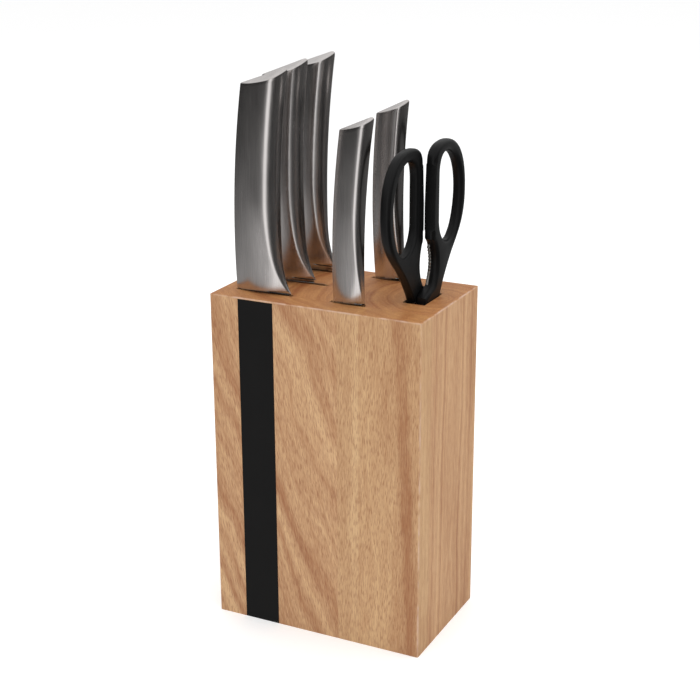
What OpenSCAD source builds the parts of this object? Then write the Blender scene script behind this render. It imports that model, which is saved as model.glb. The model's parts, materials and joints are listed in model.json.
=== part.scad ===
// Knife block with five knives and a pair of kitchen shears.
// +Z is up, +X is right and +Y is back. The origin is the middle of the block's base.

/* [Block] */
// Width of the block, left to right
block_w = 147; // [122:0.5:200]
// Depth of the block, front to back
block_d = 90; // [75:0.5:130]
// Height of the block
block_h = 225; // [180:1:280]
// Radius of the block's upright and top edges
edge_r = 1; // [0.5:0.1:4]
// Thickness of the front staves
front_t = 15.75; // [12:0.25:20]
// Thickness of the back board
back_t = 10.25; // [8:0.25:16]
// Wood left of the large slots
left_wall = 10; // [6:0.5:16]
// Wood right of the shears' well
right_wall = 13.3; // [8:0.1:20]
// Height of the strips that close the slots and the well
floor_h = 15; // [8:1:25]
// First glue joint of the front staves, from the left face
joint_1 = 90; // [60:1:95]
// Second glue joint of the front staves, from the left face
joint_2 = 105; // [98:1:115]

/* [Black stripe] */
// Left edge of the stripe, from the left face
stripe_x = 20.4; // [8:0.2:30]
// Width of the stripe
stripe_w = 25; // [10:0.5:27]
// Depth of the inlay
stripe_t = 1; // [0.6:0.1:2]
// Gap between the inlay and its recess
stripe_gap = 0.1; // [0:0.05:0.3]

/* [Slots] */
// Thickness of each slot
slot_t = 3.5; // [2.9:0.1:5]
// Space beside a blade in its slot
slot_play = 2.65; // [1:0.05:4]
// Space under a long blade's tip
tip_gap = 10; // [4:1:20]

/* [Blades] */
// Thickness of the large blades
large_blade_t = 2.2; // [1.6:0.1:2.8]
// Thickness of the small blades
small_blade_t = 1.6; // [1.2:0.1:2.2]
// Height of the bread knife's blade
bread_w = 35.4; // [28:0.1:44]
// Height of the chef's knife's blade
chef_w = 45; // [36:0.1:56]
// Height of the slicing knife's blade
slicer_w = 34.7; // [24:0.1:44]
// Height of the two small blades
small_w = 19.1; // [16:0.1:24]
// Length of the utility knife's blade
utility_l = 125; // [100:1:150]
// Length of the paring knife's blade
paring_l = 90; // [70:1:110]

/* [Handles] */
// Width of a large handle
large_handle_w = 33.5; // [27:0.1:42]
// Length of a large handle's edge side
large_handle_l = 142.5; // [118:0.5:172]
// Thickness of a large handle at its ridges
large_handle_t = 16; // [13:0.1:20]
// How far a large handle flares at its foot
large_flare = 5; // [2:0.1:7]
// Width of a small handle
small_handle_w = 21.9; // [18:0.1:27]
// Length of a small handle's edge side
small_handle_l = 117.5; // [97:0.5:142]
// Thickness of a small handle at its ridges
small_handle_t = 11.4; // [9.5:0.1:14]
// Wall of the hollow handles
shell_t = 1.2; // [0.8:0.1:1.6]
// Thickness of the cap that closes a handle
cap_t = 2.4; // [1:0.1:2.5]
// Space between a handle's foot and the block
foot_gap = 0.6; // [0.3:0.1:2]
// How far a small handle's spine side is right of its slot's left end
small_inset = 2.2; // [0:0.1:4]
// Lean of the chef's knife to the left in its slot, in degrees
chef_lean = 1.5; // [0:0.1:1.6]
// Lean of the paring knife to the left in its slot, in degrees
paring_lean = 2.3; // [0:0.1:2.5]
// How much higher the chef's knife stands than the bread knife
chef_rise = 1; // [0:0.5:6]
// How much higher the slicing knife stands than the bread knife
slicer_rise = 3; // [0:0.5:6]
// How far the chef's handle stands to the right of the bread knife's
chef_shift = 1.6; // [0:0.1:2]
// How far the slicing knife's handle stands to the right of the bread knife's
slicer_shift = 1.4; // [0:0.1:2]

/* [Shears] */
// Thickness of one plastic handle
grip_t = 7; // [6:0.1:8]
// Thickness of one steel half
steel_t = 2.3; // [1.8:0.1:2.8]
// Gap between the two halves
halves_gap = 0.1; // [0.05:0.05:0.3]
// Width of the shears where they enter the block
neck_w = 24.4; // [20:0.1:28]
// Depth of the pivot below the top of the block
pivot_depth = 10; // [8:0.5:14]
// Length of the shears' blades below the pivot
shear_blade_l = 115; // [95:1:138]
// Radius of the pivot screw
pivot_r = 3; // [2:0.1:3.6]
// Running clearance round the pivot screw
pivot_gap = 0.05; // [0.02:0.01:0.1]
// Space beside the shears in the well
well_play_x = 0.65; // [0.4:0.05:2]
// Space in front of and behind the neck in the well
well_play_y = 2.1; // [1:0.1:4]
// Distance of the shears' middle behind the well's middle
neck_shift = 1; // [0:0.1:1.2]
// Distance of the well's middle behind the middle row
well_shift = 1; // [0:0.5:2]
// Space between a tang and its pocket in the plastic
pocket_gap = 0.05; // [0.02:0.01:0.2]

/* [Hidden] */
$fn = 64;

wood = [0.80, 0.62, 0.43];
steel = [0.62, 0.62, 0.63];
black = [0.10, 0.10, 0.10];
past = 1;                       // how far a cutter reaches past what it cuts

// Depths of the three rows of slots, from the front face
core_t = (block_d - front_t - back_t - 3 * slot_t) / 2;
row_y = [for (i = [0:2]) front_t + slot_t / 2 + i * (core_t + slot_t)];

// Widths of the slots and the well
bread_slot = bread_w + 2 * slot_play;
chef_slot = chef_w + 2 * slot_play;
slicer_slot = slicer_w + 2 * slot_play;
small_slot = small_w + 2 * slot_play;
shears_t = 2 * grip_t + halves_gap;
well_w = shears_t + 2 * well_play_x;
well_l = neck_w + 2 * well_play_y;

// Left edges of the slots and the well, from the left face
large_slot = max(bread_slot, chef_slot, slicer_slot);
wood_gap = (block_w - left_wall - right_wall - large_slot - small_slot - well_w) / 2;
small_x = left_wall + large_slot + wood_gap;
well_x = block_w - right_wall - well_w;
well_y = row_y[1] + well_shift - well_l / 2;

// Blades that fill the slots' depth
slot_depth = block_h - floor_h;
long_blade_l = slot_depth - tip_gap;

// From the block's own corner (left, front, base) to the model's origin
module from_corner() {
  translate([-block_w / 2, -block_d / 2, 0]) children();
}

// ---- wooden block ----

// Rectangle with two or four rounded corners
module rounded_rect(w, h, r, all_corners) {
  low = all_corners ? r : 0;
  translate([r, 0]) square([w - 2 * r, h]);
  translate([0, low]) square([w, h - r - low]);
  for (x = [r, w - r]) {
    translate([x, h - r]) circle(r);
    if (all_corners) translate([x, r]) circle(r);
  }
}

// Whole outer shape of the block, with its upright and top edges rounded
module envelope() {
  intersection() {
    linear_extrude(block_h) rounded_rect(block_w, block_d, edge_r, true);
    translate([0, block_d, 0]) rotate([90, 0, 0])
      linear_extrude(block_d) rounded_rect(block_w, block_h, edge_r, false);
    rotate([90, 0, 90])
      linear_extrude(block_w) rounded_rect(block_d, block_h, edge_r, false);
  }
}

// A board cut from the envelope
module board(x, y, w, d) {
  color(wood) from_corner() intersection() {
    translate([x, y, 0]) cube([w, d, block_h]);
    envelope();
  }
}

// A board or strip that reaches no rounded upright edge
module inner_board(x, y, w, d, h = block_h) {
  color(wood) from_corner() translate([x, y, 0]) cube([w, d, h]);
}

module stripe_recess() {
  from_corner() translate([stripe_x, -past, -past])
    cube([stripe_w, past + stripe_t, block_h - edge_r + past]);
}

module front_left_stave() {
  color(wood) difference() {
    board(0, 0, joint_1, front_t);
    stripe_recess();
  }
}

module black_stripe() {
  color(black) from_corner() translate([stripe_x + stripe_gap, 0, 0])
    cube([stripe_w - 2 * stripe_gap, stripe_t, block_h - edge_r - stripe_gap]);
}

// The well takes a notch out of both core boards, so each is glued from a board, a web and an end
front_core_y = front_t + slot_t;
rear_core_y = front_core_y + core_t + slot_t;
core_end_x = well_x + well_w;
core_end_w = block_w - core_end_x;

// Strips of one row, as thick as a slot, left and right of and between the hollows
function row_front(row) = row_y[row] - slot_t / 2;

module left_strip(row) { board(0, row_front(row), left_wall, slot_t); }

module middle_strip(row, first_slot, next_x) {
  x = left_wall + first_slot;
  board(x, row_front(row), next_x - x, slot_t);
}

module right_strip(row, x) { board(x, row_front(row), block_w - x, slot_t); }

module floor_strips(row, first_slot, second) {
  inner_board(left_wall, row_front(row), first_slot, slot_t, floor_h);
  if (second) inner_board(small_x, row_front(row), small_slot, slot_t, floor_h);
}

module well_floor() { inner_board(well_x, well_y, well_w, well_l, floor_h); }

// ---- knives ----

// What tells a handle's size: width, edge side's length, thickness, flare, butt drop, bend,
// and the heights at which the spine side and the edge side are furthest left
large = [large_handle_w, large_handle_l, large_handle_t, large_flare, 11.6, 0.00076, 33, 48];
small = [small_handle_w, small_handle_l, small_handle_t, 0, 10, 0.00085, 27, 27];
function width_of(h) = h[0];
function length_of(h) = h[1];
function half_of(h) = h[2] / 2;
function flare_of(h) = h[3];
function drop_of(h) = h[4];
function bend_of(h) = h[5];
function spine_low(h) = h[6];
function edge_low(h) = h[7];

flare_h = 29;                  // height of the flare at the foot
flare_power = 2.4;
butt_crown = 0.5;              // fall of the butt from its crest to the ridges, by half thickness
foot_rise = 2.4;               // how far the foot rises from its ends to its middle
foot_share = 0.62;             // thickness of the foot as a share of the thickness at the ridges
ridge_share = 0.72;            // ridge position across the handle, from the spine
ridge_share_foot = 0.97;
ridge_sweep_h = 58;            // height over which the ridge sweeps to the edge side
handle_left = 0.1;             // large handle's spine side from the slot's left end

// Half section of a handle: share of the width from the spine, share of the half thickness
SECTION = [
  [0, 0], [0.17, 0.36], [0.34, 0.64], [0.52, 0.86], [0.67, 0.985],
  [0.78, 0.96], [0.88, 0.74], [0.96, 0.38], [1, 0]
];
SECTION_N = len(SECTION);
RINGS = [0, 0.03, 0.07, 0.12, 0.18, 0.25, 0.34, 0.45, 0.57, 0.7, 0.85, 1];
mouth_rings = 3;               // rings over which a shell closes round the tang

// Offsetting the kite-shaped section inwards by the wall shrinks it about its own centre
function spine_angle(h) = atan(half_of(h) / (ridge_share * width_of(h)));
function edge_angle(h) = atan(half_of(h) / ((1 - ridge_share) * width_of(h)));
function kite_centre(h) = sin(edge_angle(h)) / (sin(spine_angle(h)) + sin(edge_angle(h)));
function kite_r(h) = width_of(h) * kite_centre(h) * sin(spine_angle(h));

function clamp01(v) = max(0, min(1, v));
function bow(h, z, low) = bend_of(h) * (pow(z - low, 2) - pow(spine_low(h), 2));
function spine_at(h, z) = bow(h, z, spine_low(h));
function edge_at(h, z) = width_of(h) + bow(h, z, edge_low(h))
  + flare_of(h) * pow(clamp01(1 - z / flare_h), flare_power);

// How far a height has turned into the foot's plain lens, from 0 to 1
function foot_turn(z) = pow(clamp01(1 - z / ridge_sweep_h), 1.6);
function ridge_at(z) = ridge_share + (ridge_share_foot - ridge_share) * foot_turn(z);

// Place across the width once the ridge has moved to its share at height z
function swept(f, z) = f < ridge_share
  ? f * ridge_at(z) / ridge_share
  : 1 - (1 - f) * (1 - ridge_at(z)) / (1 - ridge_share);
function lens(f) = foot_share * pow(sin(180 * clamp01(f)), 0.8);

// Point of a handle: share of the length s, section place [f, g], length kept free at the butt
function handle_point(h, s, f, g, free) =
  let (
    foot = foot_rise * g,
    top = length_of(h) - drop_of(h) * (1 - f) - butt_crown * half_of(h) * g - free,
    z = foot + s * (top - foot),
    x0 = spine_at(h, z),
    x1 = edge_at(h, z),
    place = swept(f, z),
    solid_g = lens(place) * (g == 0 ? 0 : min(1, g / max(0.01, section_g(f)))),
    bulge = g * (1 - foot_turn(z)) + solid_g * foot_turn(z)
  )
  [x0 + place * (x1 - x0), -bulge * half_of(h), z];

// Half thickness of the outer section at place f
function section_g(f) = lookup(f, SECTION);

// Tang: its left side and width, from the handle's spine side at the foot
function tang_left(h) = 0.32 * width_of(h);
function tang_w(h) = 0.36 * width_of(h);
tang_room = 0.3;               // space beside the tang in the handle's mouth
cap_seat = 0.02;               // gap under the butt cap

// Inner half section: the kite shrunk by the wall
function inner_place(h, p, shrink) = [kite_centre(h) + (p[0] - kite_centre(h)) * shrink, p[1] * shrink];

// Hollow half of a handle, as one ring swept from foot to butt
module half_shell(h, tang_t) {
  shrink = 1 - shell_t / kite_r(h);
  n = 2 * SECTION_N;
  last = len(RINGS) - 1;
  // the mouth closes to a slit round the tang, its ends run out beyond it
  slit_start = SECTION[1][0];
  slit_reach = SECTION[SECTION_N - 2][0] - slit_start;
  function slit_point(r, i) =
    let (
      p = SECTION[i],
      across = (p[0] - slit_start) / slit_reach,
      end = i == 0 || i == SECTION_N - 1
    )
    [
      tang_left(h) - tang_room + across * (tang_w(h) + 2 * tang_room),
      end ? 0 : -tang_t / 2 - pocket_gap,
      handle_point(h, RINGS[r], p[0], p[1], cap_t)[2]
    ];
  function hollow_point(r, i) =
    let (q = inner_place(h, SECTION[i], shrink)) handle_point(h, RINGS[r], q[0], q[1], cap_t);
  function inner_point(r, i) = r < mouth_rings ? slit_point(r, i) : hollow_point(r, i);
  points = [
    for (r = [0:last]) each concat(
      [for (p = SECTION) handle_point(h, RINGS[r], p[0], p[1], cap_t)],
      [for (i = [SECTION_N - 1:-1:0]) inner_point(r, i)]
    )
  ];
  sides = [
    for (r = [0:last - 1], i = [0:n - 1])
      let (a = r * n + i, b = r * n + (i + 1) % n)
      each [[a, b + n, b], [a, a + n, b + n]]
  ];
  ends = [
    for (r = [0, last], i = [0:SECTION_N - 2])
      let (a = r * n + i, b = a + 1, c = r * n + n - 2 - i, d = c + 1)
      each (r == 0 ? [[a, b, c], [a, c, d]] : [[a, c, b], [a, d, c]])
  ];
  polyhedron(points, concat(sides, ends));
}

// Crowned cap over both halves, its crest in the plane of the blade
module butt_cap(h) {
  free = [cap_t - cap_seat, 0];
  m = SECTION_N;
  // columns front, crest and back of each layer
  points = [
    for (layer = [0:1], side = [-1:1], i = [0:m - 1])
      let (
        g = SECTION[i][1] * abs(side),
        p = handle_point(h, 1, SECTION[i][0], g, free[layer])
      )
      [p[0], p[1] * -side, p[2]]
  ];
  // both ends of a column are shared with the crest
  function at(layer, side, i) =
    layer * 3 * m + ((i == 0 || i == m - 1) ? 1 : side + 1) * m + i;
  function tri(a, b, c) = (a == b || b == c || a == c) ? [] : [[a, b, c]];
  function quad(a, b, c, d) = concat(tri(a, b, c), tri(a, c, d));
  roofs = [
    for (i = [0:m - 2], side = [-1, 0]) each concat(
      quad(at(1, side, i), at(1, side, i + 1), at(1, side + 1, i + 1), at(1, side + 1, i)),
      quad(at(0, side, i), at(0, side + 1, i), at(0, side + 1, i + 1), at(0, side, i + 1))
    )
  ];
  walls = [
    for (i = [0:m - 2]) each concat(
      quad(at(0, 1, i), at(1, 1, i), at(1, 1, i + 1), at(0, 1, i + 1)),
      quad(at(0, -1, i), at(0, -1, i + 1), at(1, -1, i + 1), at(1, -1, i))
    )
  ];
  polyhedron(points, concat(roofs, walls));
}

// Points of a cubic curve from a to d, pulled by b and c
function curve(a, b, c, d, steps = 10) = [
  for (i = [1:steps])
    let (t = i / steps, u = 1 - t)
    u * u * u * a + 3 * u * u * t * b + 3 * u * t * t * c + t * t * t * d
];

// Side view of a blade: x from its spine, y down its length from the top of the block.
// Its shoulder meets the handle's foot, and a heel wider than the foot stays in the slot.
module blade_outline(w, l, point_drop, belly, foot_w, heel_drop) {
  tip = [point_drop * w, -l];
  spine_turn = [0, -l * (1 - belly * 0.6)];
  edge_turn = [w, -l * (1 - belly)];
  polygon(concat(
    [[0, foot_gap], spine_turn],
    curve(spine_turn, spine_turn + [0, -l * belly * 0.3], tip + [-point_drop * w * 0.5, l * 0.03], tip),
    curve(tip, tip + [w * 0.35, l * 0.05], edge_turn + [0, -l * belly * 0.35], edge_turn),
    w > foot_w ? [[w, -heel_drop], [foot_w, -heel_drop], [foot_w, foot_gap]] : [[w, foot_gap]]
  ));
}

// Scallops of the bread knife's edge
scallop_pitch = 9;
scallop_r = 7;
module scallops(w, l) {
  for (i = [0:floor(l * 0.82 / scallop_pitch) - 1])
    translate([w + scallop_r - 1.6, -12 - i * scallop_pitch]) circle(scallop_r);
}

// Blade with its tang, standing in the plane of a slot
module blade(h, inset, rise, w, l, t, point_drop, belly, serrated) {
  foot_x = inset - slot_play;
  foot_w = foot_x + width_of(h) + flare_of(h) - tang_room;
  translate([0, t / 2, 0]) rotate([90, 0, 0]) linear_extrude(t) difference() {
    union() {
      blade_outline(w, l, point_drop, belly, foot_w, rise + past);
      translate([foot_x + tang_left(h), -past]) square([tang_w(h), past + length_of(h) * 0.5]);
    }
    if (serrated) scallops(w, l);
  }
}

// A knife: handle, slot's left end, row, handle's inset in the slot, lean, rise,
// and its blade's height, length, thickness, point drop, belly and whether it is serrated
bread = [large, left_wall, 0, handle_left, 0, 0,
  bread_w, long_blade_l, large_blade_t, 0.5, 0.12, true];
chef = [large, left_wall, 1, handle_left + chef_shift, chef_lean, chef_rise,
  chef_w, long_blade_l, large_blade_t, 0.14, 0.55, false];
slicer = [large, left_wall, 2, handle_left + slicer_shift, 0, slicer_rise,
  slicer_w, long_blade_l, large_blade_t, 0.25, 0.3, false];
utility = [small, small_x, 0, small_inset, 0, 0,
  small_w, utility_l, small_blade_t, 0.3, 0.35, false];
paring = [small, small_x, 2, small_inset, paring_lean, 0,
  small_w, paring_l, small_blade_t, 0.3, 0.45, false];

// A knife's frame, at its slot's left end and standing above the top of the block
module at_slot(k) {
  from_corner() translate([k[1], row_y[k[2]], block_h + k[5]]) rotate([0, -k[4], 0]) children();
}

module knife_blade(k) {
  color(steel) at_slot(k) translate([slot_play, 0, 0])
    blade(k[0], k[3], k[5], k[6], k[7], k[8], k[9], k[10], k[11]);
}

// One half shell of a handle, in front of the blade or behind it
module knife_shell(k, back) {
  color(steel) at_slot(k) translate([k[3], 0, foot_gap])
    mirror([0, back ? 1 : 0, 0]) half_shell(k[0], k[8]);
}

module knife_cap(k) {
  color(steel) at_slot(k) translate([k[3], 0, foot_gap]) butt_cap(k[0]);
}

// ---- shears ----

shears_x = well_x + well_w / 2;
shears_y = row_y[1] + well_shift + neck_shift;
neck_r = neck_w / 2;
loop_in = 1.7;                 // inner bar of a loop from the middle plane, at the dock's upper end
dock_in = 0.1;                 // the same where the two bars lie side by side
dock_low = 44;                 // height of the dock's lower end above the block
dock_meet = 60;                // height up to which the bars lie side by side
dock_high = 84;
dock_step = 0.7;               // how far the bar stands out above and below its dock
tooth_reach = 1.8;             // how far the teeth stand out of the back handle
loop_out = 51;                 // outer bar of a loop from the middle plane
loop_low = 32;                 // height of the finger hole's lower end above the block
loop_high = 89.5;              // height of the finger hole's upper end
bar = 7.5;                     // width of the loop's bars
tooth_pitch = 2.07;
tooth_h = 0.8;
nut_gap = 5;                   // half width of the toothed gap between the arms
nut_power = 0.8;               // lower makes the gap's ends blunter
nut_low = 8;
nut_high = 36;
head_r = 5.5;
head_t = 2.4;

// One half is drawn in the plane of the shears: x away from the middle plane, y above the block
module side_view(x, mirrored) {
  from_corner() translate([x, shears_y, block_h]) mirror([0, mirrored ? 1 : 0, 0])
    rotate([90, 0, 90]) children();
}

// Edge of the almond-shaped gap between the arms, from the middle plane
function nut_edge(z) = nut_gap * pow(max(0, sin(180 * (z - nut_low) / (nut_high - nut_low))), nut_power);
nut_steps = 12;

// Outline of the plastic: neck, outer bar, loop top and inner bar with the gap below it
module grip_outline(set_back) {
  high = loop_high + bar;
  top_in = loop_in - dock_step;
  lug_in = dock_in - dock_step;
  polygon(concat(
    [[-neck_r * 0.9, -4], [neck_r, -4], [neck_r, 0]],
    curve([neck_r, 0], [neck_r + 5, 9], [24, 17], [30, 23.5]),
    curve([30, 23.5], [42, 34.5], [loop_out, 42], [loop_out, 61]),
    curve([loop_out, 61], [loop_out, 84], [39, high], [20, high]),
    curve([20, high], [6, high], [top_in, 93], [top_in, dock_high + dock_step]),
    [[loop_in, dock_high], [dock_in, dock_meet], [dock_in, dock_low]],
    [[lug_in, dock_low - dock_step], [lug_in, nut_high + 2]],
    [
      for (i = [nut_steps:-1:0])
        let (z = nut_low + (nut_high - nut_low) * i / nut_steps)
        [nut_edge(z) + set_back, z]
    ],
    [[-3, nut_low - 1.5], [-neck_r * 0.9, 3]]
  ));
}

module finger_hole() {
  x0 = loop_in + bar;
  x1 = loop_out - bar;
  polygon(concat(
    curve([x0, 50], [x0, 38], [19, loop_low], [26, loop_low]),
    curve([26, loop_low], [36, loop_low], [x1, 48], [x1, 62]),
    curve([x1, 62], [x1, 78], [33, loop_high], [21, loop_high]),
    curve([21, loop_high], [13, loop_high], [x0, 86], [x0, 76])
  ));
}

// Inner edge of the steel: teeth on the back half, and a plain edge inside the plastic on the front half
teeth_n = floor((nut_high - nut_low - 6) / tooth_pitch);
function toothed_edge() = [
  for (i = [teeth_n:-1:0])
    let (z = nut_low + 3 + i * tooth_pitch)
    each [[nut_edge(z) + tooth_h, z + tooth_pitch / 2], [nut_edge(z), z]]
];
plain_edge = [[nut_gap + 1.6, 27], [nut_gap + 1.6, 16]];

// Outline of one steel half: tang, pivot disc and blade, which crosses to the other side
module steel_outline(toothed) {
  tip = -pivot_depth - shear_blade_l;
  translate([0, -pivot_depth]) circle(neck_r);
  polygon(concat(
    [[neck_r, -pivot_depth], [neck_r, 2]],
    curve([neck_r, 2], [neck_r + 1, 12], [15, 20], [13, 30]),
    [[8.4, 47], [loop_in + 2.2, 47], [loop_in + 2.2, nut_high + 1.5]],
    toothed ? toothed_edge() : plain_edge,
    [[1.6, nut_low - 1], [-3, nut_low - 3], [-neck_r, -pivot_depth]]
  ));
  polygon(concat(
    [[-neck_r, -pivot_depth]],
    curve([-neck_r, -pivot_depth], [-neck_r, -45], [-8.5, tip * 0.75], [-1.4, tip]),
    [[1.6, tip + 1.5], [3.2, -pivot_depth - neck_r], [neck_r * 0.8, -pivot_depth - neck_r * 0.5]]
  ));
}

module steel_half(x, mirrored) {
  color(steel) side_view(x, mirrored) difference() {
    linear_extrude(steel_t) steel_outline(!mirrored);
    translate([0, -pivot_depth, -past]) cylinder(r = pivot_r + pivot_gap, h = steel_t + 2 * past);
  }
}

// Plastic handle with an open pocket for the tang on its inner side
module grip(x, steel_x, mirrored) {
  color(black) difference() {
    side_view(x, mirrored) linear_extrude(grip_t) difference() {
      grip_outline(mirrored ? 0 : tooth_reach);
      finger_hole();
    }
    side_view(steel_x - pocket_gap, mirrored)
      linear_extrude(steel_t + 2 * pocket_gap) intersection() {
        offset(delta = pocket_gap) steel_outline(!mirrored);
        translate([-neck_w, -2 * neck_w]) square([2 * neck_w, 4 * neck_w]);
      }
  }
}

front_grip_x = shears_x - halves_gap / 2 - grip_t;
back_grip_x = shears_x + halves_gap / 2;
front_steel_x = shears_x - halves_gap / 2 - steel_t;
back_steel_x = shears_x + halves_gap / 2;

module along_pivot(x) {
  from_corner() translate([x, shears_y, block_h - pivot_depth]) rotate([0, 90, 0]) children();
}

// Screw with its head on the right, and a round nut on the left
stack_t = 2 * steel_t + halves_gap;
module pivot_screw() {
  color(steel) {
    along_pivot(front_steel_x - pivot_gap - head_t)
      cylinder(r = pivot_r, h = head_t + stack_t + 3 * pivot_gap);
    along_pivot(front_steel_x + stack_t + pivot_gap) cylinder(r = head_r, h = head_t);
  }
}

module pivot_nut() {
  color(steel) along_pivot(front_steel_x - pivot_gap - head_t) difference() {
    cylinder(r = head_r, h = head_t);
    translate([0, 0, -past]) cylinder(r = pivot_r, h = head_t + 2 * past);
  }
}

// ---- nodes ----

module front_middle_stave() { board(joint_1, 0, joint_2 - joint_1, front_t); }
module front_right_stave() { board(joint_2, 0, block_w - joint_2, front_t); }
module front_core_board() { board(0, front_core_y, well_x, core_t); }
module front_core_web() { board(well_x, front_core_y, well_w, well_y - front_core_y); }
module front_core_end() { board(core_end_x, front_core_y, core_end_w, core_t); }
module rear_core_board() { board(0, rear_core_y, well_x, core_t); }
module rear_core_web() {
  y = well_y + well_l;
  board(well_x, y, well_w, rear_core_y + core_t - y);
}
module rear_core_end() { board(core_end_x, rear_core_y, core_end_w, core_t); }
module back_board() { board(0, block_d - back_t, block_w, back_t); }

front_left_stave();
front_middle_stave();
front_right_stave();
black_stripe();
front_core_board();
front_core_web();
front_core_end();
rear_core_board();
rear_core_web();
rear_core_end();
back_board();
left_strip(0);  // row_1_left_strip
middle_strip(0, bread_slot, small_x);  // row_1_middle_strip
right_strip(0, small_x + small_slot);  // row_1_right_strip
floor_strips(0, bread_slot, true);  // row_1_floor_strips
left_strip(1);  // row_2_left_strip
middle_strip(1, chef_slot, well_x);  // row_2_middle_strip
right_strip(1, core_end_x);  // row_2_right_strip
floor_strips(1, chef_slot, false);  // row_2_floor_strip
left_strip(2);  // row_3_left_strip
middle_strip(2, slicer_slot, small_x);  // row_3_middle_strip
right_strip(2, small_x + small_slot);  // row_3_right_strip
floor_strips(2, slicer_slot, true);  // row_3_floor_strips
well_floor();
knife_blade(bread);  // bread_blade
knife_shell(bread, false);  // bread_front_shell
knife_shell(bread, true);  // bread_back_shell
knife_cap(bread);  // bread_butt_cap
knife_blade(chef);  // chef_blade
knife_shell(chef, false);  // chef_front_shell
knife_shell(chef, true);  // chef_back_shell
knife_cap(chef);  // chef_butt_cap
knife_blade(slicer);  // slicer_blade
knife_shell(slicer, false);  // slicer_front_shell
knife_shell(slicer, true);  // slicer_back_shell
knife_cap(slicer);  // slicer_butt_cap
knife_blade(utility);  // utility_blade
knife_shell(utility, false);  // utility_front_shell
knife_shell(utility, true);  // utility_back_shell
knife_cap(utility);  // utility_butt_cap
knife_blade(paring);  // paring_blade
knife_shell(paring, false);  // paring_front_shell
knife_shell(paring, true);  // paring_back_shell
knife_cap(paring);  // paring_butt_cap
steel_half(front_steel_x, true);  // shears_front_blade
grip(front_grip_x, front_steel_x, true);  // shears_front_handle
steel_half(back_steel_x, false);  // shears_back_blade
grip(back_grip_x, back_steel_x, false);  // shears_back_handle
pivot_screw();
pivot_nut();
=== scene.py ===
import json
import math

import bmesh
import bpy
from mathutils import Matrix, Vector

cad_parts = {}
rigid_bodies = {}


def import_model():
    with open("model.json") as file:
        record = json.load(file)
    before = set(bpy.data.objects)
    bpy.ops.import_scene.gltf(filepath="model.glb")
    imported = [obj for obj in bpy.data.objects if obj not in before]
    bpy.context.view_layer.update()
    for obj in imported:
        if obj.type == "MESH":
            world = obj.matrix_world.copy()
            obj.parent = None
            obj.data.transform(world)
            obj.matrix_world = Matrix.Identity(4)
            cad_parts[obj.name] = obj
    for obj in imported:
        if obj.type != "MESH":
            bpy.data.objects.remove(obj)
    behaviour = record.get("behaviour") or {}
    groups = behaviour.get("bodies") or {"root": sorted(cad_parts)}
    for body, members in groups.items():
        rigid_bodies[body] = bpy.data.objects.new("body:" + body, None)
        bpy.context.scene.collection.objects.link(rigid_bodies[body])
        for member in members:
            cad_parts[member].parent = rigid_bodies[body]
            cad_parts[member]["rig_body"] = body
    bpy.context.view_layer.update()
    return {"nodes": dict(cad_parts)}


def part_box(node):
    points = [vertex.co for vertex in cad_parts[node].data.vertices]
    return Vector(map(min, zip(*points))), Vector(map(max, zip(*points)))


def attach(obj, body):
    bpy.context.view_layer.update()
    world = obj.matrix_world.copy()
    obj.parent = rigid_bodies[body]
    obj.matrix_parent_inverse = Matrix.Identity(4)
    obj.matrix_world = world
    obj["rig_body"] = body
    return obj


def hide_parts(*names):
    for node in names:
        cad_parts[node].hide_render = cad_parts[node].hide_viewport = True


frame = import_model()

mm = 0.001
print("frame loaded,", len(frame["nodes"]), "CAD nodes")


# places taken from the frame, in millimetres

def lowOf(nodeName):
    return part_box(nodeName)[0] / mm


def highOf(nodeName):
    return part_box(nodeName)[1] / mm


blockTop = highOf("front_left_stave").z
blockRight = highOf("front_right_stave").x
blockFront = lowOf("front_left_stave").y
longSlotX = highOf("row_1_left_strip").x
smallSlotX = highOf("row_1_middle_strip").x
rowY = [(lowOf(f"row_{r}_left_strip").y + highOf(f"row_{r}_left_strip").y) / 2 for r in (1, 2, 3)]
pivot = (lowOf("pivot_screw") + highOf("pivot_screw")) / 2
shearsMiddle = (highOf("shears_front_handle").x + lowOf("shears_back_handle").x) / 2


# small helpers

def clamp01(v):
    return max(0.0, min(1.0, v))


def bezier(a, b, c, d, steps=14):
    # points after a, up to and with d
    made = []
    for i in range(1, steps + 1):
        t = i / steps
        u = 1 - t
        made.append(tuple(u ** 3 * a[k] + 3 * u * u * t * b[k] + 3 * u * t * t * c[k] + t ** 3 * d[k]
                          for k in range(2)))
    return made


def feed(tree, inputs, values):
    # a socket is linked and anything else is set as a value
    for key, value in values.items():
        if isinstance(value, bpy.types.NodeSocket):
            tree.links.new(value, inputs[key])
        else:
            inputs[key].default_value = value


def addNode(tree, kind, inputs=None, **settings):
    made = tree.nodes.new(kind)
    for key, value in settings.items():
        setattr(made, key, value)
    feed(tree, made.inputs, inputs or {})
    return made


def sums(tree, operation, a, b=0.0, c=0.0):
    return addNode(tree, "ShaderNodeMath", {0: a, 1: b, 2: c}, operation=operation).outputs[0]


def spread(tree, value, low, high, toLow=0.0, toHigh=1.0):
    inputs = {"Value": value, "From Min": low, "From Max": high, "To Min": toLow, "To Max": toHigh}
    return addNode(tree, "ShaderNodeMapRange", inputs).outputs["Result"]


def vectorSums(tree, operation, a, b, output="Vector"):
    # b is a number for SCALE and a vector for the other operations
    second = "Scale" if operation == "SCALE" else 1
    return addNode(tree, "ShaderNodeVectorMath", {0: a, second: b}, operation=operation).outputs[output]


def axesOf(tree, vector):
    return addNode(tree, "ShaderNodeSeparateXYZ", {0: vector}).outputs


def stretched(tree, vector, size, offset=(0, 0, 0)):
    # size is the length of one noise cell along x, y and z, in millimetres
    inputs = {"Vector": vector, "Location": offset, "Scale": [1 / s for s in size]}
    return addNode(tree, "ShaderNodeMapping", inputs).outputs["Vector"]


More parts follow.
